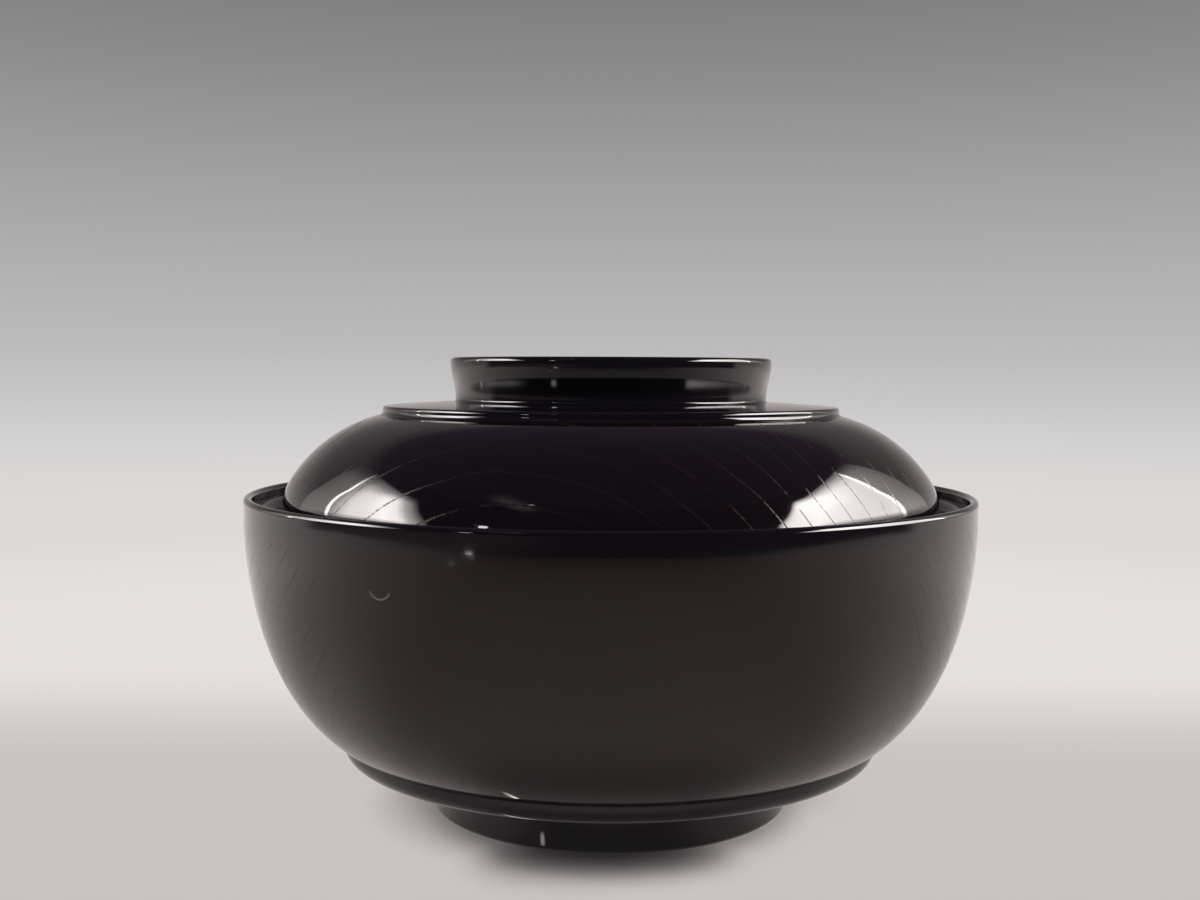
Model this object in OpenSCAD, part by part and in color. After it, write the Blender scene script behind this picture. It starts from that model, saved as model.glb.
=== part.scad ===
// Lacquer soup bowl with a lid that sits down inside its lip.
// Both halves are turned wood under cloth and lacquer, so every solid here is a
// revolved section. Each section is one run of stretches, anticlockwise from the
// axis, and each stretch can be drawn any depth below the finished surface.

/* [Bowl] */
// Radius of the bowl at its widest, which is also the outside of the lip
bowl_r = 67.6; // [65:0.1:72]
// Height of the top of the lip
rim_h = 58.6; // [54:0.1:64]
// Depth of the widest point below the top of the lip
belly_drop = 3.8; // [3:0.1:5]
// Thickness of the lip, which is fully rounded over
lip_t = 1.7; // [1.4:0.1:2.2]
// Slope of the wall where it leaves the crease, above level
wall_slope = 32.1; // [28:0.1:36]
// Pull of the wall's curve out of the crease
wall_pull_low = 17.7; // [15:0.1:20]
// Pull of the wall's curve below its widest point
wall_pull_top = 8; // [4:0.1:10]

/* [Bowl disc] */
// Run of the wall, from its widest point in to the disc
wall_run = 17.5; // [15:0.1:20]
// Height of the underside of the disc
disc_h = 10; // [8:0.1:11]
// Round on the lower edge of the disc
disc_round = 3; // [1:0.1:3.5]
// Upright band between that round and the crease
disc_band = 0.4; // [0.1:0.1:1]

/* [Bowl inside] */
// Depth of the lid's seat below the top of the lip
seat_drop = 4.5; // [4:0.1:5.5]
// Width of the seat, in from the lip, with its fillet and its round
seat_w = 9.1; // [8.8:0.1:10]
// Fillet between the seat and the inside of the lip
seat_fillet = 2.6; // [1:0.1:3]
// Round on the inner edge of the seat
seat_round = 0.8; // [0.6:0.1:1]
// Thickness of the floor in the middle
floor_t = 7.4; // [6:0.1:10]
// Pull of the inside curve down from the seat
cavity_pull = 32; // [26:0.5:34]
// Set-in of the curve's pull across the floor from the inside's edge
floor_set_in = 6.8; // [5:0.1:12]

/* [Bowl foot] */
// Outer radius of the foot where it stands
foot_r = 33.5; // [32:0.1:38]
// Width of the foot's ring where it stands
foot_w = 4.9; // [4:0.1:7]
// Lean of the foot's outer face, inwards towards its root
foot_lean = 5; // [0:0.5:8]
// Round on both edges of the foot's standing face
foot_round = 0.8; // [0.6:0.1:1.1]
// Fillet at the foot's root, under the disc
foot_fillet = 1.2; // [0.6:0.1:2]
// Depth of the recess inside the foot
recess_h = 6.8; // [4:0.1:7.5]
// Fillet between the recess and the foot's inner face
recess_fillet = 1.8; // [0.8:0.1:2.5]

/* [Lid] */
// Clearance between the lid and the inside of the lip, all round
lid_gap = 5.1; // [4.6:0.1:5.4]
// Height of the lid from its own edge to the top of its ring
lid_h = 29.6; // [28:0.1:34]
// Width of the lid's edge, from its widest point to its inside
edge_w = 4.8; // [4.6:0.1:5.6]
// Round of the lid's edge
edge_round = 4; // [3.8:0.1:4.4]
// Turn of that round below the widest point, down to the flat that sits on the seat
edge_turn = 67.7; // [60:0.1:72]
// Turn of that round above the widest point, up to the dome's long arc
edge_rise = 28.5; // [22:0.5:34]
// Round on the inner corner of the lid's edge
lid_in_round = 1; // [0.7:0.1:1.2]
// Height of the lid's inside in the middle, above its edge
ceiling_h = 17.5; // [15:0.1:18.2]
// Set-in of the curve's pull across the middle from the lid's inner edge
ceiling_set_in = 16; // [14:0.5:22]
// Pull of the inside curve up from the edge
lid_in_pull = 11; // [8:0.5:12]

/* [Lid plate] */
// Width of the dome, from the lid's widest point in to the plate
dome_w = 18.2; // [17:0.1:21]
// Height of the plate's outer edge above the lid's edge
plate_h = 20.65; // [20:0.05:21.5]
// Round on the plate's edge
plate_round = 0.6; // [0.55:0.05:0.7]
// Upright band between that round and the fillet below it
plate_band = 0.25; // [0.1:0.05:0.5]
// Fillet where the plate's side runs out into the dome
plate_fillet = 0.9; // [0.4:0.1:1.2]
// Slope of the plate's top, up towards the ring
plate_slope = 3.6; // [0:0.1:5]

/* [Lid ring] */
// Width of the plate's top, from its edge in to the top of the ring
plate_w = 12.5; // [9:0.1:16]
// Flare of the ring's outer face, from its root to its top
ring_flare = 0.95; // [0:0.05:1.5]
// Thickness of the ring at its top
ring_t = 3.5; // [3.2:0.1:6]
// Round on both edges of the ring's top
ring_round = 0.8; // [0.6:0.1:1]
// Fillet at the ring's root, on the plate
ring_fillet = 0.5; // [0.3:0.1:1]
// Pull of the ring's outer face at each end of its flare
ring_pull = 2.6; // [1:0.1:3]
// Depth of the dish inside the ring
dish_depth = 6.5; // [5:0.1:7.5]
// Fillet round the floor of the dish
dish_fillet = 2; // [1:0.1:3]

/* [Layers] */
// Thickness of the lacquer with its ground
coat_t = 0.25; // [0.15:0.05:0.3]
// Thickness of the cloth under the black lacquer
cloth_t = 0.25; // [0.15:0.05:0.25]

/* [Hidden] */
$fn = 128;
// Steps along a small round, along a long curve and along the dome
round_steps = 5;
curve_steps = 22;
dome_steps = 18;
// Depth of the wood under bare lacquer, and under lacquer and cloth
under_coat = coat_t;
under_cloth = coat_t + cloth_t;

// Radius of the disc and heights of the bowl above the table
disc_r = bowl_r - wall_run;
crease_h = disc_h + disc_round + disc_band;
belly_h = rim_h - belly_drop;
floor_h = recess_h + floor_t;
seat_h = rim_h - seat_drop;
cavity_top_h = seat_h - seat_round;
// Inside of the lip, and the bowl's inside below the seat and at its floor
lip_in_r = bowl_r - lip_t;
cavity_r = lip_in_r - seat_w;
floor_pull = cavity_r - floor_set_in;

// Radii of the lid, its plate and its ring
lid_r = lip_in_r - lid_gap;
lid_in_r = lid_r - edge_w;
ceiling_pull = lid_in_r - ceiling_set_in;
plate_r = lid_r - dome_w;
ring_top_r = plate_r - plate_w;
ring_root_r = ring_top_r - ring_flare;
ring_in_r = ring_top_r - ring_t;

// Heights of the lid above the table
lid_in_h = seat_h + lid_in_round;
lid_belly_h = seat_h + edge_round * sin(edge_turn);
lid_ceiling_h = seat_h + ceiling_h;
lid_plate_h = seat_h + plate_h;
top_h = seat_h + lid_h;
ring_round_h = top_h - ring_round;
dish_h = top_h - dish_depth;
dish_wall_h = dish_h + dish_fillet;

// Inside of the foot, and centres of the rounds at the bottom and the root of its leaning face
foot_in_r = foot_r - foot_w;
foot_out = [cos(foot_lean), sin(foot_lean)];
foot_up = [-sin(foot_lean), cos(foot_lean)];
foot_c = [foot_r - foot_round, foot_round];
foot_line = foot_c + (foot_round + foot_fillet) * foot_out;
foot_root_c = foot_line + (disc_h - foot_fillet - foot_line.y) / cos(foot_lean) * foot_up;

// Centres of the lid's edge, of the plate's own round and of the fillet below it
edge_c = [lid_r - edge_round, lid_belly_h];
plate_c = [plate_r - plate_round, lid_plate_h - plate_round];
plate_root_c = [plate_r + plate_fillet, plate_c.y - plate_band];
// The dome's long arc runs on from the edge and just meets the plate's fillet
edge_out = [cos(edge_rise), sin(edge_rise)];
dome_run = plate_root_c - edge_c;
dome_gap = norm(dome_run - edge_round * edge_out);
dome_arc = (dome_gap * dome_gap - plate_fillet * plate_fillet)
    / (edge_round + plate_fillet - dome_run * edge_out) / 2;
dome_c = edge_c + (edge_round - dome_arc) * edge_out;
dome_end = atan2(plate_root_c.y - dome_c.y, plate_root_c.x - dome_c.x);

// Centre of the fillet that meets both the plate's sloping top and the ring
plate_up = [sin(plate_slope), cos(plate_slope)];
plate_in = [-cos(plate_slope), sin(plate_slope)];
plate_line = plate_c + (plate_round + ring_fillet) * plate_up;
ring_root_c = plate_line + (plate_line.x - ring_root_r - ring_fillet) / cos(plate_slope) * plate_in;

// Points of an arc of radius r about c
function arc(c, r, from, to, steps = round_steps) = [
    for (i = [0:steps])
        let (a = from + (to - from) * i / steps)
        c + r * [cos(a), sin(a)]
];

// A cubic curve through its control points, and its direction there
function curve_at(p, t) =
    pow(1 - t, 3) * p[0] + 3 * pow(1 - t, 2) * t * p[1] + 3 * (1 - t) * t * t * p[2] + t * t * t * p[3];
function curve_way(p, t) =
    pow(1 - t, 2) * (p[1] - p[0]) + 2 * (1 - t) * t * (p[2] - p[1]) + t * t * (p[3] - p[2]);

// Points of such a curve, moved to its left by depth, which is into the wood
function curve(p, depth) = [
    for (i = [0:curve_steps])
        let (t = i / curve_steps, way = curve_way(p, t))
        curve_at(p, t) + depth / norm(way) * [-way.y, way.x]
];

// Two runs that share the point where they meet, and a run turned round
function join(a, b) = concat(a, [for (i = [1:len(b) - 1]) b[i]]);
function back(run) = [for (i = [len(run) - 1:-1:0]) run[i]];

// The bowl's section: recess, foot, disc, wall, lip with its seat, and inside
function recess(depth) = concat(
    [[0, recess_h + depth]],
    arc([foot_in_r - recess_fillet, recess_h - recess_fillet], recess_fillet + depth, 90, 0)
);

function foot(depth) = concat(
    [[foot_in_r + depth, recess_h - recess_fillet]],
    arc([foot_in_r + foot_round, foot_round], foot_round - depth, 180, 270),
    arc(foot_c, foot_round - depth, 270, 360 + foot_lean),
    [foot_root_c - (foot_fillet + depth) * foot_out]
);

function disc(depth) = concat(
    arc(foot_root_c, foot_fillet + depth, 180 + foot_lean, 90),
    arc([disc_r - disc_round, disc_h + disc_round], disc_round - depth, 270, 360),
    [crease(depth)]
);

function crease(depth) =
    [disc_r - depth, crease_h + depth * (1 - sin(wall_slope)) / cos(wall_slope)];

function wall(depth) = join([crease(depth)], curve([
    [disc_r, crease_h],
    [disc_r, crease_h] + wall_pull_low * [cos(wall_slope), sin(wall_slope)],
    [bowl_r, belly_h - wall_pull_top],
    [bowl_r, belly_h]
], depth));

function rim(depth) = concat(
    [[bowl_r - depth, belly_h]],
    arc([bowl_r - lip_t / 2, rim_h - lip_t / 2], lip_t / 2 - depth, 0, 180, 2 * round_steps),
    arc([lip_in_r - seat_fillet, seat_h + seat_fillet], seat_fillet + depth, 0, -90),
    arc([cavity_r + seat_round, cavity_top_h], seat_round - depth, 90, 180)
);

function cavity(depth) = curve([
    [cavity_r, cavity_top_h],
    [cavity_r, cavity_top_h - cavity_pull],
    [floor_pull, floor_h],
    [0, floor_h]
], depth);

// The lid's section: inside, edge, dome, plate, ring and dish
function lid_inside(depth) = curve([
    [0, lid_ceiling_h],
    [ceiling_pull, lid_ceiling_h],
    [lid_in_r, lid_in_h + lid_in_pull],
    [lid_in_r, lid_in_h]
], depth);

function lid_edge(depth) = concat(
    arc([lid_in_r + lid_in_round, lid_in_h], lid_in_round - depth, 180, 270),
    arc(edge_c, edge_round - depth, -asin((lid_belly_h - seat_h - depth) / (edge_round - depth)), 0)
);

function dome(depth) = join(
    arc(edge_c, edge_round - depth, 0, edge_rise),
    arc(dome_c, dome_arc - depth, edge_rise, dome_end, dome_steps)
);

function plate(depth) = concat(
    arc(plate_root_c, plate_fillet + depth, 180 + dome_end, 180),
    arc(plate_c, plate_round - depth, 0, 90 - plate_slope),
    arc(ring_root_c, ring_fillet + depth, 270 - plate_slope, 180)
);

function ring(depth) = concat(
    curve([
        [ring_root_r, ring_root_c.y],
        [ring_root_r, ring_root_c.y + ring_pull],
        [ring_top_r, ring_round_h - ring_pull],
        [ring_top_r, ring_round_h]
    ], depth),
    arc([ring_top_r - ring_round, ring_round_h], ring_round - depth, 0, 90),
    arc([ring_in_r + ring_round, ring_round_h], ring_round - depth, 90, 180),
    [[ring_in_r + depth, dish_wall_h]]
);

function dish(depth) = concat(
    arc([ring_in_r - dish_fillet, dish_wall_h], dish_fillet + depth, 0, -90),
    [[0, dish_h - depth]]
);

// A solid between the axis and one run, or between two runs
module turned(outer, inner = []) {
    rotate_extrude()
        polygon(concat(outer, back(inner)));
}

// The bowl's turned wood, with its disc and foot, in one piece
module bowl_wood_core() {
    color([0.34, 0.20, 0.11])
        turned(concat(
            recess(under_coat),
            foot(under_cloth),
            join(disc(under_coat), wall(under_coat)),
            rim(under_cloth),
            cavity(under_coat)
        ));
}

// Cloth glued over the lip and the seat, where the wood is thinnest
module bowl_rim_cloth() {
    color([0.62, 0.55, 0.42])
        turned(rim(under_coat), rim(under_cloth));
}

// Cloth glued round the foot
module bowl_foot_cloth() {
    color([0.62, 0.55, 0.42])
        turned(foot(under_coat), foot(under_cloth));
}

// Black lacquer over the inside, the seat and the lip
function bowl_inside_run(depth) = join(rim(depth), cavity(depth));

module bowl_inside_lacquer() {
    color([0.03, 0.035, 0.03])
        turned(bowl_inside_run(0), bowl_inside_run(coat_t));
}

// Clear brown lacquer on the wall, through which the grain shows
module bowl_wall_lacquer() {
    color([0.16, 0.09, 0.08])
        turned(wall(0), wall(coat_t));
}

// Black lacquer over the disc, the foot and the recess
function bowl_foot_run(depth) = join(join(recess(depth), foot(depth)), disc(depth));

module bowl_foot_lacquer() {
    color([0.05, 0.05, 0.05])
        turned(bowl_foot_run(0), bowl_foot_run(coat_t));
}

// The lid's turned wood, with its plate and ring, in one piece
module lid_wood_core() {
    color([0.34, 0.20, 0.11])
        turned(concat(
            lid_inside(under_coat),
            lid_edge(under_cloth),
            join(dome(under_coat), plate(under_coat)),
            ring(under_cloth),
            dish(under_coat)
        ));
}

// Cloth glued round the lid's edge
module lid_edge_cloth() {
    color([0.62, 0.55, 0.42])
        turned(lid_edge(under_coat), lid_edge(under_cloth));
}

// Cloth glued over the lid's ring
module lid_ring_cloth() {
    color([0.62, 0.55, 0.42])
        turned(ring(under_coat), ring(under_cloth));
}

// Black lacquer over the lid's inside and round its edge
function lid_inside_run(depth) = join(lid_inside(depth), lid_edge(depth));

module lid_inside_lacquer() {
    color([0.03, 0.035, 0.03])
        turned(lid_inside_run(0), lid_inside_run(coat_t));
}

// Clear brown lacquer on the dome, through which the grain shows
module lid_dome_lacquer() {
    color([0.16, 0.09, 0.08])
        turned(dome(0), dome(coat_t));
}

// Black lacquer over the plate, the ring and the dish
function lid_ring_run(depth) = join(join(plate(depth), ring(depth)), dish(depth));

module lid_ring_lacquer() {
    color([0.05, 0.05, 0.05])
        turned(lid_ring_run(0), lid_ring_run(coat_t));
}

bowl_wood_core();
bowl_rim_cloth();
bowl_foot_cloth();
bowl_inside_lacquer();
bowl_wall_lacquer();
bowl_foot_lacquer();
lid_wood_core();
lid_edge_cloth();
lid_ring_cloth();
lid_inside_lacquer();
lid_dome_lacquer();
lid_ring_lacquer();
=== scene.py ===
from math import pi, radians, tau

import bmesh
import bpy
from mathutils import Matrix, Vector
from mathutils.geometry import interpolate_bezier


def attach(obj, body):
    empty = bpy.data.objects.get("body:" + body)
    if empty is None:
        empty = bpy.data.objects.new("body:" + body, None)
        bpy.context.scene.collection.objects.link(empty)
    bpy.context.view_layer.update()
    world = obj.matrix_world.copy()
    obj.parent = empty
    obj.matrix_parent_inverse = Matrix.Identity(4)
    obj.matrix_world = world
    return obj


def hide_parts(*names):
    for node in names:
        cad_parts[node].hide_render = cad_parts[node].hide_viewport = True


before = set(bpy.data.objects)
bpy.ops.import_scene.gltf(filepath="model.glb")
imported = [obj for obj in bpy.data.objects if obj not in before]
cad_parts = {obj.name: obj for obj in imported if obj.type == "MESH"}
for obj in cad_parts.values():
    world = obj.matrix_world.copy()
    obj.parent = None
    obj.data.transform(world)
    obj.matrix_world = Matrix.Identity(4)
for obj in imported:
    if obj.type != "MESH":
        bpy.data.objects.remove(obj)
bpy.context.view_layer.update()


# The camera stands 266 mm from the bowl's axis and 81 mm above the table, and looks slightly
# down. It leans a little to its left, so that the table falls towards the picture's right.
eye = bpy.data.cameras.new("camera")
eye.sensor_width = 36.0
eye.lens = 42.168
eye.clip_start = 0.01
camera = bpy.data.objects.new("camera", eye)
camera.location = (0.0, -0.26573, 0.08146)
look_left = Matrix.Rotation(0.00751, 3, "Z")
look_down = Matrix.Rotation(radians(90) - 0.0569, 3, "X")
lean = Matrix.Rotation(0.0045, 3, "Z")
camera.rotation_euler = (look_left @ look_down @ lean).to_euler()
bpy.context.collection.objects.link(camera)
bpy.context.scene.camera = camera
bpy.context.scene.view_settings.view_transform = "Standard"


# The bowl stands on a sheet of pale, matt paper that runs back and curves up behind it, all
# round. Its light is painted: it is dimmer and a little warm in front of the bowl and at its
# sides, palest behind it, and falls away to a soft grey above.
millimetre = 0.001
steps_round = 192
touching = 0.001
crease = radians(35)
pale_sheet = (0.700, 0.685, 0.680, 1)
# Painted shade on the sheet: darker behind the bowl, and a painted shadow under its front.
painted_shade_behind = (0.450, 0.440, 0.436, 1)
painted_shadow_grey = (0.250, 0.242, 0.240, 1)
# Painted light of the paper as the camera sees it: the table and the foot of the rise.
pale_table = (0.788, 0.748, 0.740, 1)
near_table = (0.590, 0.543, 0.530, 1)
foot_of_rise = (0.730, 0.694, 0.680, 1)
dim_violet = (0.08, 0.065, 0.11, 1)
# Painted light of the dim room beyond the table's edge, darker and lighter.
dark_room = (0.065, 0.052, 0.090, 1)
lighter_room = (0.200, 0.150, 0.165, 1)


def outline(start):
    """Starts an outline, drawn in millimetres as radius and height, and gives back its tip too."""
    line = bmesh.new()
    return line, line.verts.new((start[0], 0.0, start[1]))


def straight(line, tip, end):
    """Carries the outline on along a straight line."""
    far = line.verts.new((end[0], 0.0, end[1]))
    line.edges.new((tip, far))
    return far


def swing(line, tip, centre, turn, steps):
    """Carries the outline on round a centre, anticlockwise for a positive turn."""
    swept = bmesh.ops.spin(
        line, geom=[tip], cent=(centre[0], 0.0, centre[1]), axis=(0.0, -1.0, 0.0),
        angle=radians(turn), steps=steps)
    return swept["geom_last"][0]


def sweep(line, tip, pull, push, end, steps):
    """Carries the outline on along a smooth curve, given by its two handles and its end."""
    handles = [(point[0], 0.0, point[1]) for point in (pull, push, end)]
    for place in interpolate_bezier(tip.co, *handles, steps + 1)[1:]:
        tip = straight(line, tip, (place.x, place.z))
    return tip


def turned(line, name, thickness=0.0):
    """Spins an outline about the bowl's axis, thickens it inwards, and makes its object."""
    bmesh.ops.spin(
        line, geom=line.verts[:] + line.edges[:], cent=(0.0, 0.0, 0.0), axis=(0.0, 0.0, 1.0),
        angle=tau, steps=steps_round, use_merge=True)
    bmesh.ops.remove_doubles(line, verts=line.verts[:], dist=touching)
    bmesh.ops.recalc_face_normals(line, faces=line.faces[:])
    if thickness:
        bmesh.ops.solidify(line, geom=line.faces[:], thickness=thickness)
    bmesh.ops.scale(line, vec=(millimetre, millimetre, millimetre), verts=line.verts[:])
    mesh = bpy.data.meshes.new(name)
    line.to_mesh(mesh)
    line.free()
    mesh.shade_smooth()
    mesh.set_sharp_from_angle(angle=crease)
    made = bpy.data.objects.new(name, mesh)
    bpy.context.collection.objects.link(made)
    return made


def node(tree, kind, inputs=(), **settings):
    """Adds a node; each input is given a value, or is linked where it is another's output."""
    made = tree.nodes.new("ShaderNode" + kind)
    for name, value in settings.items():
        setattr(made, name, value)
    for socket, value in inputs:
        if isinstance(value, bpy.types.NodeSocket):
            tree.links.new(value, made.inputs[socket])
        else:
            made.inputs[socket].default_value = value
    return made


def work_out(tree, operation, *terms):
    """Does one sum; MULTIPLY_ADD is the first term times the second, plus the third."""
    return node(tree, "Math", enumerate(terms), operation=operation).outputs[0]


def product(tree, first, *others):
    for other in others:
        first = work_out(tree, "MULTIPLY", first, other)
    return first


def remainder(tree, share):
    """What is left of one."""
    return work_out(tree, "SUBTRACT", 1.0, share)


def length(tree, place):
    return node(tree, "VectorMath", [(0, place)], operation="LENGTH").outputs["Value"]


def stretch(tree, place, factors):
    """Multiplies the three parts of a place, or of a colour."""
    return node(tree, "VectorMath", [(0, place), (1, factors)], operation="MULTIPLY").outputs[0]


def ease(tree, value, start, end, low=0.0, high=1.0):
    """Goes smoothly from low to high as the value goes from start to end."""
    limits = (("From Min", start), ("From Max", end), ("To Min", low), ("To Max", high))
    eased = node(tree, "MapRange", (("Value", value), *limits), interpolation_type="SMOOTHSTEP")
    return eased.outputs["Result"]


def blend(tree, share, first, second):
    """Mixes two values by a share from 0 to 1."""
    return node(tree, "Mix", ((0, share), (2, first), (3, second)), data_type="FLOAT").outputs[0]


def blend_colours(tree, share, first, second):
    """Mixes two colours, or two vectors, by a share from 0 to 1."""
    return node(tree, "Mix", ((0, share), (6, first), (7, second)), data_type="RGBA").outputs[2]


def grade(tree, value, stops):
    """Runs through a row of colours; each stop is a value from 0 to 1 and its colour."""
    ramp = node(tree, "ValToRGB", [("Fac", value)])
    made = ramp.color_ramp.elements
    made[0].position = stops[0][0]
    made[1].position = stops[-1][0]
    for position, _ in stops[1:-1]:
        made.new(position)
    for stop, (_, colour) in zip(made, stops):
        stop.color = colour
    return ramp.outputs["Color"]


def in_grey(stops):
    return [(position, (share, share, share, 1)) for position, share in stops]


def new_material(name):
    """Starts a material, and gives back its nodes and its Principled BSDF."""
    material = bpy.data.materials.new(name)
    material.use_nodes = True
    return material, material.node_tree, material.node_tree.nodes["Principled BSDF"]


paper_line, tip = outline((0, 0))
tip = straight(paper_line, tip, (620, 0))
tip = swing(paper_line, tip, (620, 500), 90, 24)
tip = straight(paper_line, tip, (1120, 1300))
paper = turned(paper_line, "paper_backdrop")

# Reach is how far a place is from the middle of the foot. Way is -1 straight in front of the
# bowl, 0 at its sides and 1 behind it.
satin_paper, tree, shader = new_material("satin_paper")
place = node(tree, "TexCoord").outputs["Object"]
along = node(tree, "SeparateXYZ", [("Vector", place)]).outputs
rays = node(tree, "LightPath").outputs
reach = length(tree, place)
way = work_out(tree, "DIVIDE", along["Y"], reach)
low_down = ease(tree, along["Z"], 0.05, 0.0)

# The sheet's colour, which the lamps light, has painted shade: darker behind the bowl, where both
# lamps reach it fully, and darkest in a painted shadow under the bowl's front.
behind = ease(tree, way, -0.5, 0.3)
under_the_front = ease(tree, way, -0.80, -0.97)
painted_shadow = product(tree, under_the_front, ease(tree, reach, 0.048, 0.034))
sheet_colour = blend_colours(tree, behind, pale_sheet, painted_shade_behind)
sheet_colour = blend_colours(tree, painted_shadow, sheet_colour, painted_shadow_grey)
tree.links.new(sheet_colour, shader.inputs["Base Color"])
shader.inputs["Roughness"].default_value = 0.4
shader.inputs["Specular IOR Level"].default_value = 0.06

# Seen by the camera, the sheet's painted light goes by its height where it is far off. The
# table is painted pale behind the bowl, and dimmer and warmer near the camera. The lacquer
# shows both a little rosier.
greys = ((0.024, 0.66), (0.056, 0.58), (0.096, 0.503), (0.168, 0.433), (0.248, 0.360),
         (0.352, 0.272), (0.448, 0.208), (0.55, 0.20), (0.80, 0.19))
heights = [(height, (grey * 1.01, grey * 0.99, grey * 0.99, 1)) for height, grey in greys]
by_height = grade(tree, along["Z"], [(0.0, foot_of_rise), *heights, (1.0, dim_violet)])
far_off = ease(tree, reach, 0.25, 0.50)
paper_colour = blend_colours(tree, far_off, pale_table, by_height)
near = product(tree, ease(tree, along["Y"], 0.115, 0.015), ease(tree, reach, 0.50, 0.28))
paper_colour = blend_colours(tree, near, paper_colour, near_table)
rosier = stretch(tree, paper_colour, (1.06, 0.965, 0.965))
paper_colour = blend_colours(tree, rays["Is Glossy Ray"], paper_colour, rosier)

# Seen in the lacquer, the table is a painted reflection, brightest beside and behind the bowl,
# with painted shade close under its wall. It falls away towards the front, where the bowl's
# painted shadow lies on it.
beside = ease(tree, way, -0.90, 0.30, 0.33, 0.88)
painted_shade_under_wall = product(tree, ease(tree, way, -0.5, 0.1), ease(tree, reach, 0.28, 0.07, 0.0, 0.42))
beside = product(tree, beside, remainder(tree, painted_shade_under_wall))
ahead = work_out(tree, "MULTIPLY_ADD", reach, -0.93, 0.51)
table = blend(tree, ease(tree, way, -0.60, -0.97), beside, ahead)
straight_ahead = ease(tree, way, -0.70, -0.95)
painted_shadow_ahead = product(tree, straight_ahead, ease(tree, reach, 0.078, 0.050, 0.0, 0.62))
table = product(tree, table, remainder(tree, painted_shadow_ahead))

# The short strip's glint on the satin table is painted as a thin streak, bright at the foot and
# at the table's edge. Aside is how far a place lies off its middle line, in half widths.
streak_side = (0.735, -0.678, 0.0)
streak_brightness = 9.0
streak_shares = (
    (0.036, 0.0), (0.0395, 0.45), (0.0435, 0.45), (0.0455, 0.0), (0.30, 0.0), (0.345, 0.15),
    (0.36, 0.0), (0.40, 0.05), (0.455, 0.12), (0.468, 1.0), (0.492, 1.0), (0.505, 0.0))
to_line = node(tree, "VectorMath", [(0, place), (1, streak_side)], operation="DOT_PRODUCT")
drift = work_out(tree, "MULTIPLY_ADD", reach, 0.02, -0.0141)
aside = work_out(tree, "ADD", to_line.outputs["Value"], drift)
aside = work_out(tree, "SUBTRACT", aside, ease(tree, reach, 0.355, 0.375, 0.0, 0.038))
widening = ease(tree, reach, 0.38, 0.46, 0.0, 0.0025)
half_width = work_out(tree, "MULTIPLY_ADD", reach, 0.0145, widening)
aside = work_out(tree, "DIVIDE", work_out(tree, "ABSOLUTE", aside), half_width)
in_line = ease(tree, aside, 1.2, 0.4, 0.0, streak_brightness)
in_line = product(tree, in_line, ease(tree, along["Y"], 0.0, -0.02))
painted_streak = product(tree, grade(tree, reach, in_grey(streak_shares)), in_line)
table = work_out(tree, "ADD", table, painted_streak)
table_tint = (1.08, 0.955, 0.95)
table_colour = node(tree, "VectorMath", [(0, table_tint), ("Scale", table)], operation="SCALE")
on_table = product(tree, low_down, rays["Is Glossy Ray"])
painted = blend_colours(tree, on_table, paper_colour, table_colour.outputs[0])

# In front the table ends at its edge, and beyond it a painted dim room takes the light away. Low
# down at the left the painted room is lighter.
table_edge = ease(tree, way, -0.9, -0.1, 0.48, 0.62)
past_edge = ease(tree, work_out(tree, "SUBTRACT", reach, table_edge), 0.0, 0.05)
in_front = ease(tree, along["Y"], 0.12, 0.0)
room = product(tree, past_edge, in_front, remainder(tree, rays["Is Camera Ray"]))
low_left = product(tree, ease(tree, along["X"], -0.05, -0.45), low_down)
painted_room_colour = blend_colours(tree, low_left, dark_room, lighter_room)
painted = blend_colours(tree, room, painted, painted_room_colour)

# All this is painted as a glow, for the camera and for the lacquer's mirror. The sheet's own
# colour, with its painted shade, shows round the foot, where the bowl's shadow falls, and it
# scatters the lamps' light.
from_shadow = work_out(tree, "MULTIPLY_ADD", under_the_front, -0.010, reach)
seen = product(tree, rays["Is Camera Ray"], ease(tree, from_shadow, 0.033, 0.048))
mirrored = product(tree, rays["Is Glossy Ray"], ease(tree, reach, 0.030, 0.034))
glow = node(tree, "Emission", [("Color", painted), ("Strength", 1.0)])
glow_share = work_out(tree, "MAXIMUM", work_out(tree, "MAXIMUM", seen, mirrored), room)
both = node(tree, "MixShader", [(0, glow_share), (1, shader.outputs[0]), (2, glow.outputs[0])])
tree.links.new(both.outputs[0], tree.nodes["Material Output"].inputs["Surface"])
paper.data.materials.append(satin_paper)


# Two large softboxes stand at the bowl's sides, leaning back a little, and give nearly all of
# the light. In front, to the left, a short strip and a small lamp draw the fine glints on lacquer
# and turned edges, and a faint patch shines on the ceiling. The room is dim and faintly violet.
def lamp(name, centre, across, facing, width, height, brightness):
    """Hangs a flat lamp, with one of its sides along across, and turned to face a direction."""
    light = bpy.data.lights.new(name, "AREA")
    light.shape = "RECTANGLE"
    light.size = width
    light.size_y = height
    light.energy = brightness * pi * width * height
    light.color = (1.0, 0.93, 0.91)
    made = bpy.data.objects.new(name, light)
    back = -Vector(facing).normalized()
    side = Vector(across).normalized()
    turn = Matrix((side, back.cross(side), back)).transposed()
    made.matrix_world = Matrix.Translation(centre) @ turn.to_4x4()
    made.visible_camera = False
    bpy.context.collection.objects.link(made)
    return light


def fade(light, across, upwards):
    """Makes a lamp brighter and dimmer over its face: each stop is a place and a share, 0 to 1."""
    light.use_nodes = True
    tree = light.node_tree
    on_face = node(tree, "NewGeometry").outputs["Parametric"]
    face = node(tree, "SeparateXYZ", [("Vector", on_face)]).outputs
    across_share = grade(tree, face["X"], in_grey(across))
    upwards_share = grade(tree, face["Y"], in_grey(upwards))
    share = product(tree, across_share, upwards_share)
    tree.links.new(share, tree.nodes["Emission"].inputs["Strength"])


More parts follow.
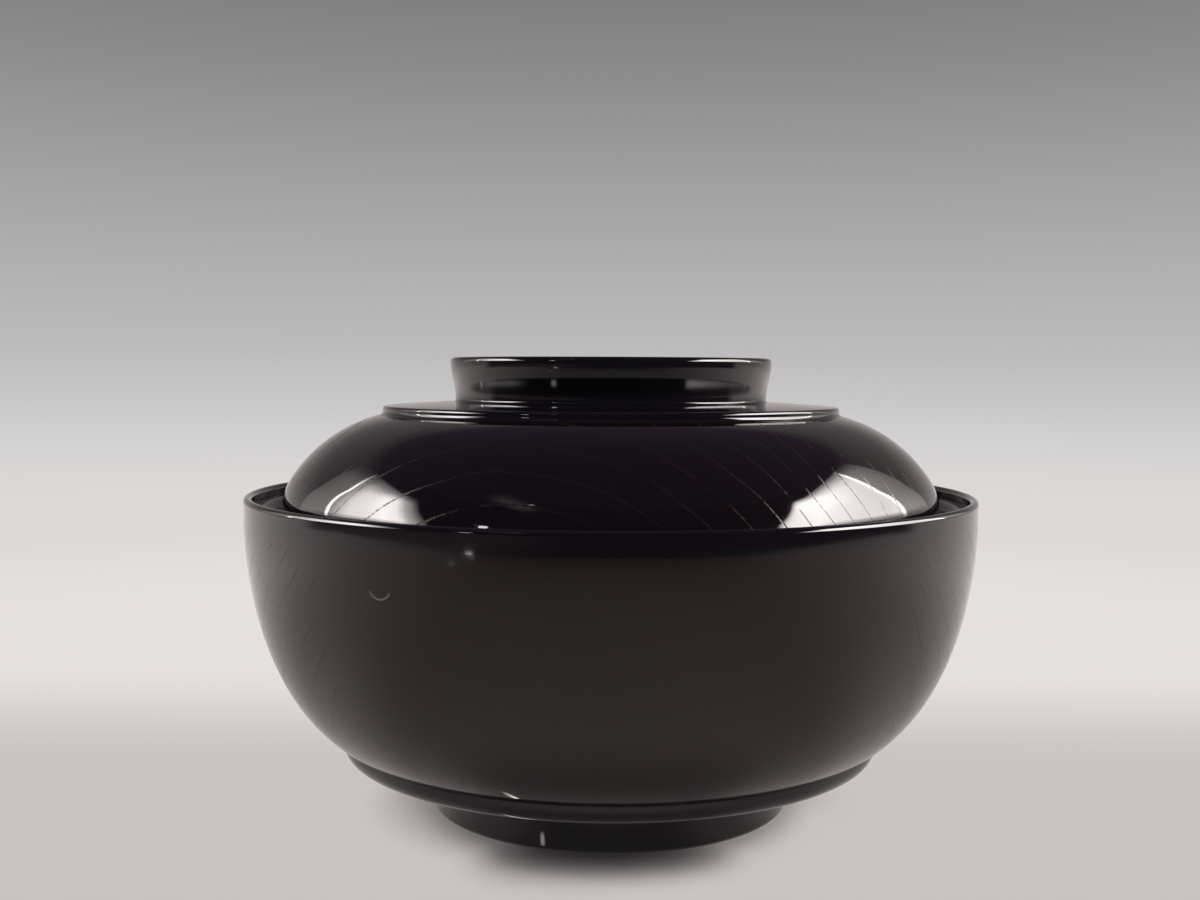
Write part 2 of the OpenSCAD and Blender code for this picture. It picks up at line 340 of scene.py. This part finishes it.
# Each softbox is hot near its middle and fades towards its top. At its back it has a bright
# seam, and beyond the seam a dim border.
left_box = lamp(
    "softbox_left", centre=(-0.711, 0.065, 0.450), across=(-0.290, -0.930, 0.227),
    facing=(0.881, -0.166, 0.444), width=0.790, height=0.860, brightness=18.0)
fade(left_box,
     across=((0.0, 0.02), (0.235, 0.07), (0.245, 0.95), (0.255, 0.95), (0.265, 0.12),
             (0.32, 0.27), (0.40, 0.55), (0.52, 0.72), (0.64, 1.0), (0.76, 0.92), (0.84, 0.42),
             (0.96, 0.10), (1.0, 0.03)),
     upwards=((0.11, 0.0), (0.15, 1.0), (0.58, 0.90), (0.67, 0.80), (0.77, 0.50), (0.86, 0.22),
              (0.95, 0.10), (1.0, 0.02)))
right_box = lamp(
    "softbox_right", centre=(0.758, 0.061, 0.554), across=(-0.278, 0.945, -0.175),
    facing=(-0.863, -0.166, 0.477), width=0.981, height=1.071, brightness=22.0)
fade(right_box,
     across=((0.0, 0.10), (0.03, 0.45), (0.06, 0.80), (0.12, 0.95), (0.30, 1.0), (0.433, 0.78),
             (0.567, 0.58), (0.70, 0.40), (0.765, 0.36), (0.775, 0.95), (0.785, 0.95),
             (0.795, 0.09), (1.0, 0.02)),
     upwards=((0.07, 0.0), (0.11, 0.87), (0.34, 0.88), (0.59, 1.0), (0.67, 1.0), (0.754, 0.88),
              (0.836, 0.58), (0.914, 0.28), (1.0, 0.02)))
lamp("short_strip", centre=(-0.390, -0.457, 0.235), across=(0.760, -0.650, 0.0),
     facing=(0.390, 0.457, -0.175), width=0.032, height=0.040, brightness=16.0)
lamp("small_lamp", centre=(-0.245, -0.377, 0.584), across=(0.839, -0.545, 0.0),
     facing=(0.245, 0.377, -0.526), width=0.018, height=0.018, brightness=5.0)
patch = lamp(
    "ceiling_patch", centre=(-0.388, -0.449, 0.754), across=(0.090, -0.322, -0.138),
    facing=(0.388, 0.449, -0.700), width=0.42, height=0.14, brightness=0.5)
fade(patch,
     across=((0.0, 0.0), (0.3, 0.9), (0.7, 1.0), (1.0, 0.0)),
     upwards=((0.0, 0.0), (0.5, 1.0), (1.0, 0.0)))

world = bpy.data.worlds.new("dim_room")
world.use_nodes = True
world.node_tree.nodes["Background"].inputs["Color"].default_value = dim_violet
bpy.context.scene.world = world


# Bowl and lid are each turned from one block of hardwood, and the fibre runs from front to
# back. The growth rings are cylinders about the tree's heart, and rows of open pores follow
# each ring. The lathe leaves fine lines round the wood. All of it lies under the lacquer.
def new_group(name, inputs, outputs):
    """Starts a node group, and gives back its nodes, what it is given and what it puts out."""
    tree = bpy.data.node_groups.new(name, "ShaderNodeTree")
    for label, kind in inputs:
        tree.interface.new_socket(label, in_out="INPUT", socket_type="NodeSocket" + kind)
    for label in outputs:
        tree.interface.new_socket(label, in_out="OUTPUT", socket_type="NodeSocketFloat")
    given = tree.nodes.new("NodeGroupInput").outputs
    results = tree.nodes.new("NodeGroupOutput").inputs
    return tree, given, results


def away_from(tree, place, point):
    return node(tree, "VectorMath", [(0, place), (1, point)], operation="SUBTRACT").outputs[0]


def noise(tree, place, scale, detail=2.0):
    inputs = (("Vector", place), ("Scale", scale), ("Detail", detail))
    return node(tree, "TexNoise", inputs).outputs["Fac"]


def specks(tree, place, scale):
    """Gives the distance to the nearest of many scattered points, in the spacing of the points."""
    return node(tree, "TexVoronoi", [("Vector", place), ("Scale", scale)]).outputs["Distance"]


def make_growth_rings():
    """Late Wood runs 0 to 1 across each ring, Pores is 1 in a pore, Fibre varies along the grain."""
    tree, given, results = new_group(
        "growth_rings",
        (("Place", "Vector"), ("Heart", "Vector"), ("Stray Pores", "Float"), ("Breaks", "Float")),
        ("Late Wood", "Pores", "Fibre"))
    from_heart = away_from(tree, given["Place"], given["Heart"])
    radius = length(tree, stretch(tree, from_heart, (1, 0, 1)))
    radius = work_out(tree, "MULTIPLY_ADD", noise(tree, given["Place"], 30.0), 0.004, radius)
    # The rings are 4 mm wide 44 mm from the heart, and narrow to under 3 mm at 70 mm.
    turns = work_out(tree, "MULTIPLY_ADD", radius, 2500.0, 20.0)
    ring = work_out(tree, "FRACT", product(tree, radius, turns))
    # A row of pores fills a ring's first few hundredths. Each is drawn out along the fibre.
    row = product(tree, ease(tree, ring, 0.0, 0.025), ease(tree, ring, 0.085, 0.04))
    drawn_out = stretch(tree, given["Place"], (1, 0.12, 1))
    gap_scale = work_out(tree, "MULTIPLY_ADD", given["Breaks"], 1400.0, 160.0)
    gaps = noise(tree, drawn_out, gap_scale, 1.0)
    gaps = work_out(tree, "SUBTRACT", gaps, given["Breaks"])
    vessels = noise(tree, drawn_out, 1500.0, 1.0)
    broken = product(
        tree, ease(tree, gaps, 0.33, 0.46), ease(tree, vessels, 0.36, 0.52, 0.4, 1.0))
    # Smaller pores are strewn in patches between the rows.
    strays = ease(tree, specks(tree, drawn_out, 1300.0), 0.22, 0.10)
    patches = ease(tree, noise(tree, drawn_out, 150.0), 0.45, 0.70)
    strays = product(tree, strays, patches, given["Stray Pores"])
    pores = work_out(tree, "MAXIMUM", product(tree, row, broken), strays)
    streaks = stretch(tree, given["Place"], (1, 0.04, 1))
    tree.links.new(ring, results["Late Wood"])
    tree.links.new(pores, results["Pores"])
    tree.links.new(noise(tree, streaks, 900.0), results["Fibre"])
    return tree


def grown(tree, place, heart, strays, breaks):
    """Places the growth rings in a material, about a heart that is given in metres."""
    inputs = (("Place", place), ("Heart", heart), ("Stray Pores", strays), ("Breaks", breaks))
    return node(tree, "Group", inputs, node_tree=growth_rings).outputs


def give_surface(tree, shader, roughness, relief):
    """Gives a shader its roughness, and its relief in millimetres."""
    bump = node(tree, "Bump", [("Strength", 1.0), ("Distance", millimetre), ("Height", relief)])
    tree.links.new(roughness, shader.inputs["Roughness"])
    tree.links.new(bump.outputs["Normal"], shader.inputs["Normal"])


growth_rings = make_growth_rings()
bowl_heart = (-0.003, 0.0, 0.0165)
lid_heart = (-0.0145, 0.0, 0.0268)
early_wood = (0.40, 0.245, 0.135, 1)
late_wood = (0.27, 0.145, 0.075, 1)
fibre_brown = (0.30, 0.18, 0.10, 1)
pore_dark = (0.08, 0.04, 0.02, 1)


def turned_wood(name, heart):
    material, tree, shader = new_material(name)
    place = node(tree, "TexCoord").outputs["Object"]
    wood = grown(tree, place, heart, strays=0.6, breaks=0.05)
    tone = blend_colours(tree, wood["Late Wood"], early_wood, late_wood)
    tone = blend_colours(tree, product(tree, wood["Fibre"], 0.5), tone, fibre_brown)
    tone = blend_colours(tree, wood["Pores"], tone, pore_dark)
    tree.links.new(tone, shader.inputs["Base Color"])
    # The tool leaves a line every 0.45 mm.
    height = node(tree, "SeparateXYZ", [("Vector", place)]).outputs["Z"]
    tool_lines = work_out(tree, "SINE", product(tree, height, 14000.0))
    relief = work_out(
        tree, "MULTIPLY_ADD", tool_lines, 0.006, product(tree, wood["Pores"], -0.12))
    give_surface(tree, shader, ease(tree, wood["Fibre"], 0.3, 0.7, 0.52, 0.68), relief)
    return material


bowl_wood = turned_wood("bowl_turned_wood", bowl_heart)
lid_wood = turned_wood("lid_turned_wood", lid_heart)
bpy.data.objects["bowl_wood_core"].material_slots[0].material = bowl_wood
bpy.data.objects["lid_wood_core"].material_slots[0].material = lid_wood


# Plain woven cloth is glued over the thin edges before the lacquer: over the bowl's lip and
# seat, round its foot, and round the lid's edge and ring. Lacquer has soaked into it, so it is
# stiff, and tan rather than white. The threads run round the bowl and across the edge.
threads_round = 420
threads_per_metre = 1150.0
thread_gap = (0.36, 0.28, 0.18, 1)
thread_top = (0.62, 0.54, 0.40, 1)
soaked = (0.45, 0.35, 0.22, 1)
sized_cloth, tree, shader = new_material("sized_cloth")
place = node(tree, "TexCoord").outputs["Object"]
along = node(tree, "SeparateXYZ", [("Vector", place)]).outputs
turn = work_out(tree, "ARCTAN2", along["Y"], along["X"])
radius = length(tree, stretch(tree, place, (1, 1, 0)))
round_count = product(tree, turn, threads_round / tau)
across_count = product(tree, work_out(tree, "SUBTRACT", radius, along["Z"]), threads_per_metre)
cells = node(tree, "CombineXYZ", [("X", round_count), ("Y", across_count)]).outputs[0]
over = node(tree, "TexChecker", [("Vector", cells), ("Scale", 1.0)]).outputs["Fac"]
warp = work_out(tree, "ABSOLUTE", work_out(tree, "SINE", product(tree, round_count, pi)))
weft = work_out(tree, "ABSOLUTE", work_out(tree, "SINE", product(tree, across_count, pi)))
threads = blend(tree, over, warp, weft)
slub = noise(tree, place, 300.0, 3.0)
tone = blend_colours(tree, threads, thread_gap, thread_top)
tone = blend_colours(tree, ease(tree, slub, 0.45, 0.75, 0.0, 0.5), tone, soaked)
tree.links.new(tone, shader.inputs["Base Color"])
relief = work_out(tree, "MULTIPLY_ADD", threads, 0.12, product(tree, slub, 0.04))
give_surface(tree, shader, ease(tree, slub, 0.3, 0.7, 0.7, 0.85), relief)
for cloth in ("bowl_rim_cloth", "bowl_foot_cloth", "lid_edge_cloth", "lid_ring_cloth"):
    bpy.data.objects[cloth].material_slots[0].material = sized_cloth


# The wall is coated with clear brown lacquer, rubbed into the wood and polished, so it is
# nearly black and mirrors the room. The coat is 0.25 mm thick. It has sunk into the wood's
# pores, which stay open as fine pits, and its surface swells very slightly.
coat = 0.25
wall_foot = (50.1, 13.4)
wall_top = (67.6, 54.8)
pore_brown = (0.024, 0.015, 0.013, 1)


def make_lacquer_film():
    """Height is the film's relief in millimetres, and Roughness is how dull it is."""
    tree, given, results = new_group(
        "lacquer_film",
        (("Place", "Vector"), ("Polish", "Float"), ("Pores", "Float"), ("Swell", "Float"),
         ("Strokes", "Float")),
        ("Roughness", "Height"))
    swell = product(tree, noise(tree, given["Place"], 130.0, 1.0), given["Swell"], 0.010)
    peel = noise(tree, given["Place"], 1100.0, 1.0)
    relief = work_out(tree, "MULTIPLY_ADD", peel, 0.0006, swell)
    upright = stretch(tree, given["Place"], (1, 1, 0.04))
    strokes = product(tree, noise(tree, upright, 900.0, 1.0), given["Strokes"])
    relief = work_out(tree, "MULTIPLY_ADD", strokes, 0.003, relief)
    nibs = ease(tree, specks(tree, given["Place"], 260.0), 0.05, 0.02)
    relief = work_out(tree, "MULTIPLY_ADD", nibs, 0.004, relief)
    relief = work_out(tree, "MULTIPLY_ADD", given["Pores"], -0.006, relief)
    haze = ease(tree, noise(tree, given["Place"], 45.0, 4.0), 0.3, 0.7, 0.8, 1.25)
    dull = product(tree, given["Polish"], haze)
    dull = work_out(tree, "MULTIPLY_ADD", given["Pores"], 0.30, dull)
    tree.links.new(dull, results["Roughness"])
    tree.links.new(relief, results["Height"])
    return tree


def lacquered(tree, shader, place, polish, swell, pores=0.0, strokes=0.0):
    """Gives a shader the lacquer film's roughness and relief."""
    inputs = (
        ("Place", place), ("Polish", polish), ("Swell", swell), ("Pores", pores),
        ("Strokes", strokes))
    film = node(tree, "Group", inputs, node_tree=lacquer_film).outputs
    give_surface(tree, shader, film["Roughness"], film["Height"])
    shader.inputs["IOR"].default_value = 1.54


def grain_lacquer(name, heart, polish, dark, light, filled=0.0, breaks=0.0, strokes=0.0):
    """Filled is how far the pores are filled at the front and back, where the fibre ends.

    Breaks is how far the rows of pores are broken up, and strokes how strongly the polisher's
    upright strokes show at the sides.
    """
    material, tree, shader = new_material(name)
    place = node(tree, "TexCoord").outputs["Object"]
    wood = grown(tree, place, heart, strays=0.2, breaks=breaks)
    along = node(tree, "SeparateXYZ", [("Vector", place)]).outputs
    off_middle = work_out(tree, "ABSOLUTE", along["X"])
    pores = product(tree, wood["Pores"], ease(tree, off_middle, 0.032, 0.054, 1.0 - filled, 1.0))
    brown = blend_colours(tree, wood["Fibre"], dark, light)
    brown = blend_colours(tree, pores, brown, pore_brown)
    tree.links.new(brown, shader.inputs["Base Color"])
    # A pit swallows light: mostly a dark metal, it mirrors about half of what the film does.
    tree.links.new(product(tree, pores, 0.8), shader.inputs["Metallic"])
    strokes = ease(tree, off_middle, 0.040, 0.062, 0.0, strokes)
    lacquered(tree, shader, place, polish, swell=1.0, pores=pores, strokes=strokes)
    return material


lacquer_film = make_lacquer_film()
wall_line, tip = outline(wall_foot)
tip = sweep(wall_line, tip, (65.094, 22.806), (67.6, 46.8), wall_top, 48)
wall_coat = turned(wall_line, "bowl_wall_coat", coat)
wall_lacquer = grain_lacquer(
    "wall_grain_lacquer", bowl_heart, polish=0.08, dark=(0.0060, 0.0020, 0.0024, 1),
    light=(0.0100, 0.0036, 0.0036, 1), filled=0.92, breaks=0.09, strokes=0.99)

# Use has left one small scuff on the wall, a pale crescent 4 mm wide. It is the lower part of
# a fine circle.
scuff_centre = (-0.0345, -0.0578, 0.04925)
scuff_radius = 0.00222
scuff_pale = (0.11, 0.095, 0.095, 1)
tree = wall_lacquer.node_tree
place = node(tree, "TexCoord").outputs["Object"]
off_circle = length(tree, away_from(tree, place, scuff_centre))
off_circle = work_out(tree, "ABSOLUTE", work_out(tree, "SUBTRACT", off_circle, scuff_radius))
height = node(tree, "SeparateXYZ", [("Vector", place)]).outputs["Z"]
lower_part = ease(tree, height, 0.0484, 0.0478)
scuff = product(tree, ease(tree, off_circle, 0.00020, 0.00006), lower_part)
shader = tree.nodes["Principled BSDF"]
brown = shader.inputs["Base Color"].links[0].from_socket
brown = blend_colours(tree, scuff, brown, scuff_pale)
tree.links.new(brown, shader.inputs["Base Color"])
wall_coat.data.materials.append(wall_lacquer)
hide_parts("bowl_wall_lacquer")
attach(wall_coat, "bowl")


# Black lacquer covers the lip, the seat that carries the lid, and the bowl's whole inside, over
# the cloth. It is filled and polished smooth, so no pores show. The lip is fully rounded over,
# and it is 1.7 mm thick. The seat is a flat ledge, 4.5 mm below the lip.
black_lacquer, tree, shader = new_material("polished_black_lacquer")
place = node(tree, "TexCoord").outputs["Object"]
cloud = noise(tree, place, 60.0, 3.0)
black = blend_colours(tree, cloud, (0.0016, 0.0014, 0.0016, 1), (0.0030, 0.0026, 0.0028, 1))
tree.links.new(black, shader.inputs["Base Color"])
lacquered(tree, shader, place, polish=0.07, swell=0.5)

inside_line, tip = outline(wall_top)
tip = straight(inside_line, tip, (67.6, 57.75))
tip = swing(inside_line, tip, (66.75, 57.75), 180, 30)
tip = straight(inside_line, tip, (65.9, 56.7))
tip = swing(inside_line, tip, (63.3, 56.7), -90, 12)
tip = straight(inside_line, tip, (57.6, 54.1))
tip = swing(inside_line, tip, (57.6, 53.3), 90, 10)
tip = sweep(inside_line, tip, (56.8, 21.3), (50.0, 14.2), (0.0, 14.2), 44)
inside_coat = turned(inside_line, "bowl_inside_coat", coat)
inside_coat.data.materials.append(black_lacquer)
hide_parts("bowl_inside_lacquer")
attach(inside_coat, "bowl")


# Black lacquer covers the disc under the bowl, the foot it stands on and the recess inside the
# foot. The foot's outer face leans in 5 degrees towards its root, and both of its lower edges
# are rounded. The disc meets the brown wall in a sharp crease.
foot_line, tip = outline(wall_foot)
tip = straight(foot_line, tip, (50.1, 13.0))
tip = swing(foot_line, tip, (47.1, 13.0), -90, 18)
tip = straight(foot_line, tip, (34.0077, 10.0))
tip = swing(foot_line, tip, (34.0077, 8.8), 95, 12)
tip = straight(foot_line, tip, (33.4970, 0.8697))
tip = swing(foot_line, tip, (32.7, 0.8), -95, 12)
tip = straight(foot_line, tip, (29.4, 0.0))
tip = swing(foot_line, tip, (29.4, 0.8), -90, 10)
tip = straight(foot_line, tip, (28.6, 5.0))
tip = swing(foot_line, tip, (26.8, 5.0), 90, 10)
tip = straight(foot_line, tip, (0.0, 6.8))
foot_coat = turned(foot_line, "bowl_foot_coat", coat)
foot_coat.data.materials.append(black_lacquer)
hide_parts("bowl_foot_lacquer")
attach(foot_coat, "bowl")


# Black lacquer covers the lid's inside, the flat of its edge that stands on the seat, and the
# edge's round, over the cloth. The lid is widest, 122 mm, at 55.2 mm above the table, and the
# black goes on from there to 57.8 mm, where the dome's brown begins.
edge_centre = (48.839, 55.2)
dome_start = (60.7186, 57.8008)
lining_line, tip = outline((0.0, 71.6))
tip = sweep(lining_line, tip, (40.0, 71.6), (56.0, 66.1), (56.0, 55.1), 44)
tip = swing(lining_line, tip, (57.0, 55.1), 90, 10)
tip = straight(lining_line, tip, (59.9, 54.1))
tip = swing(lining_line, tip, (59.9, 55.2), 90, 10)
tip = swing(lining_line, tip, edge_centre, 12.349, 6)
lining_coat = turned(lining_line, "lid_inside_coat", coat)
lining_coat.data.materials.append(black_lacquer)
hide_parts("lid_inside_lacquer")
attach(lining_coat, "lid")


# The dome has the same clear brown lacquer as the wall, over the lid's own block of wood. It
# rounds up and in from where the edge's black lacquer ends, and one long arc carries it in
# under the plate.
dome_line, tip = outline(dome_start)
tip = swing(dome_line, tip, edge_centre, 21.951, 10)
tip = swing(dome_line, tip, (36.4704, 46.7628), 41.1773, 40)
dome_coat = turned(dome_line, "lid_dome_coat", coat)
dome_coat.data.materials.append(grain_lacquer(
    "dome_grain_lacquer", lid_heart, polish=0.045, dark=(0.0022, 0.0010, 0.0013, 1),
    light=(0.0046, 0.0022, 0.0021, 1)))
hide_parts("lid_dome_lacquer")
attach(dome_coat, "lid")


# Black lacquer covers the plate, the ring that the lid is lifted by, and the dish inside the
# ring. The plate slopes up to the ring, whose outside flares a little towards its rounded top.
# The ring is turned in one piece with the lid, and cloth lies under its lacquer.
ring_line, tip = outline((43.2743, 73.0288))
tip = swing(ring_line, tip, (43.5, 73.9), -75.4773, 10)
tip = straight(ring_line, tip, (42.6, 74.15))
tip = swing(ring_line, tip, (42.0, 74.15), 86.4, 12)
tip = straight(ring_line, tip, (29.6814, 75.5302))
tip = swing(ring_line, tip, (29.65, 76.0292), -86.4, 10)
tip = sweep(ring_line, tip, (29.15, 78.6292), (30.1, 80.3), (30.1, 82.9), 16)
tip = swing(ring_line, tip, (29.3, 82.9), 90, 12)
tip = straight(ring_line, tip, (27.4, 83.7))
tip = swing(ring_line, tip, (27.4, 82.9), 90, 12)
tip = straight(ring_line, tip, (26.6, 79.2))
tip = swing(ring_line, tip, (24.6, 79.2), -90, 10)
tip = straight(ring_line, tip, (0.0, 77.2))
ring_coat = turned(ring_line, "lid_ring_coat", coat)
ring_coat.data.materials.append(black_lacquer)
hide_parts("lid_ring_lacquer")
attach(ring_coat, "lid")
